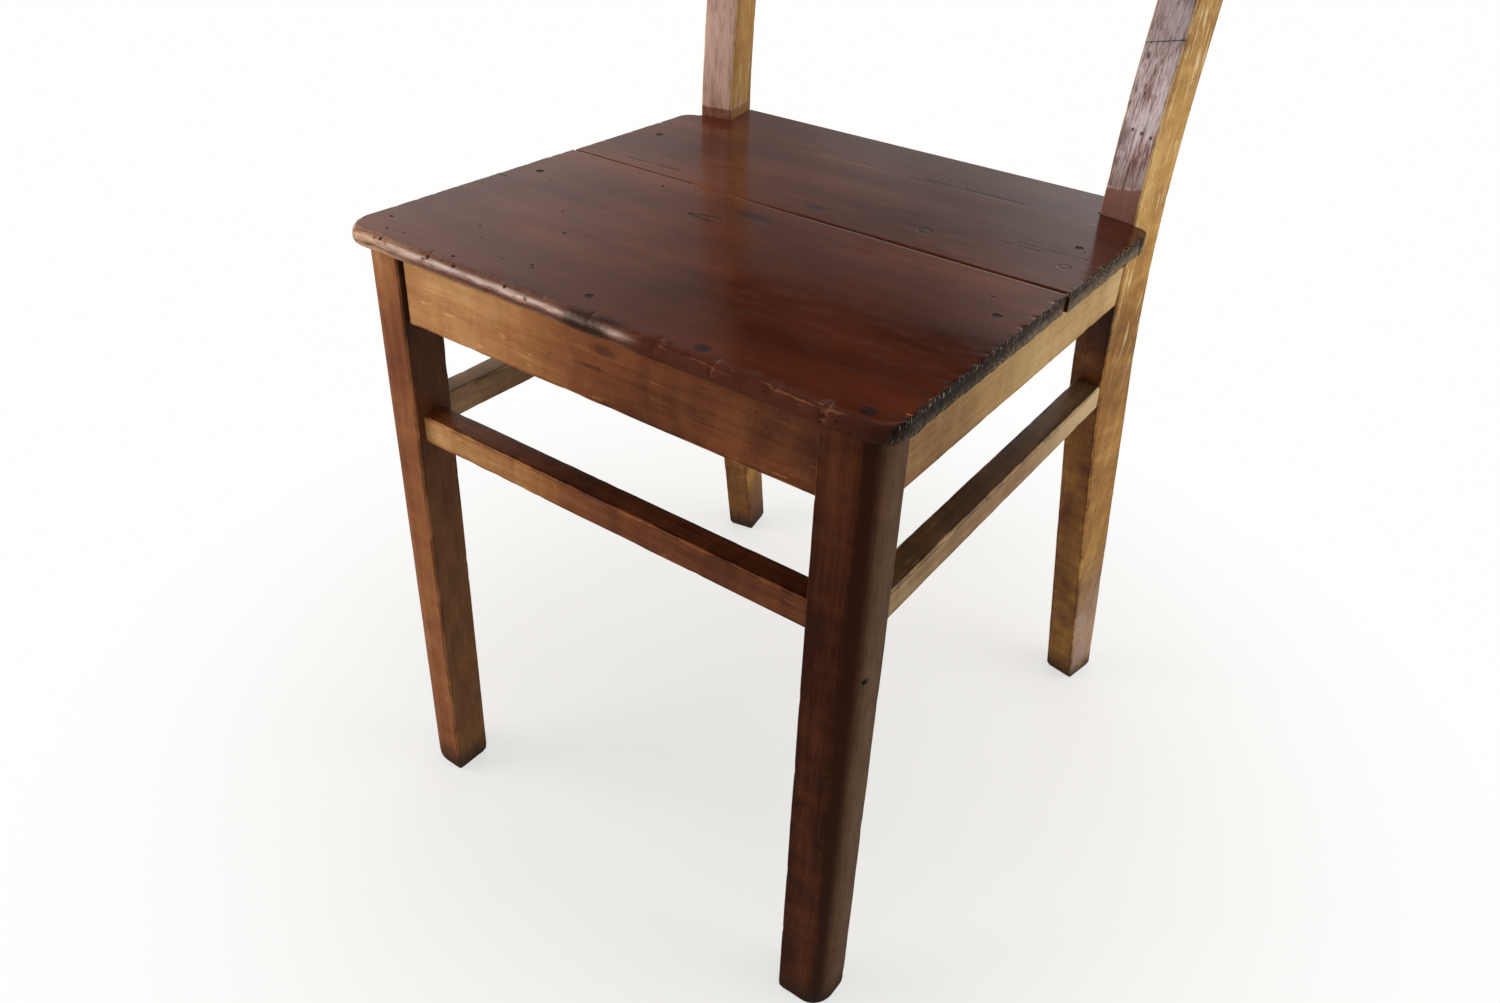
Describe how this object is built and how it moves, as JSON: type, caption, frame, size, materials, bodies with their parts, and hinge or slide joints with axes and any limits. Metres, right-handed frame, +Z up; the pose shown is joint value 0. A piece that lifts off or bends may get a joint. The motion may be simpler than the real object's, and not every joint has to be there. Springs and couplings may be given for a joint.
{
  "type": "wooden chair",
  "caption": "Plain wooden chair: board seat on a tenoned frame with high stretchers, toed and bent rear posts and a curved backrest board.",
  "frame": {"origin": "on the floor, below the middle of the chair's outer box", "axes": "+X to the right as seen from the front, +Y from the front to the back, +Z up"},
  "size_m": [0.3982, 0.4554, 0.79],
  "materials": {
    "seat_wood": "glossy dark red-brown varnish",
    "frame_wood": "worn honey-brown varnish",
    "back_wood": "glossy red-brown varnish",
    "block_wood": "bare",
    "nail_iron": "dark, dull",
    "screw_steel": "aged"
  },
  "bodies": {
    "root": {"seat_front_board": "seat_wood", "seat_rear_board": "seat_wood", "seat_back_strip": "seat_wood", "front_leg_left": "frame_wood", "front_leg_right": "frame_wood", "rear_post_left": "frame_wood", "rear_post_right": "frame_wood", "front_apron": "frame_wood", "rear_apron": "frame_wood", "side_apron_left": "frame_wood", "side_apron_right": "frame_wood", "front_stretcher": "frame_wood", "side_stretcher_left": "frame_wood", "side_stretcher_right": "frame_wood", "backrest_board": "back_wood", "front_corner_block_left": "block_wood", "front_corner_block_right": "block_wood", "rear_corner_block_left": "block_wood", "rear_corner_block_right": "block_wood", "seat_nails": "nail_iron", "corner_block_screws": "screw_steel"}
  },
  "joints": []
}
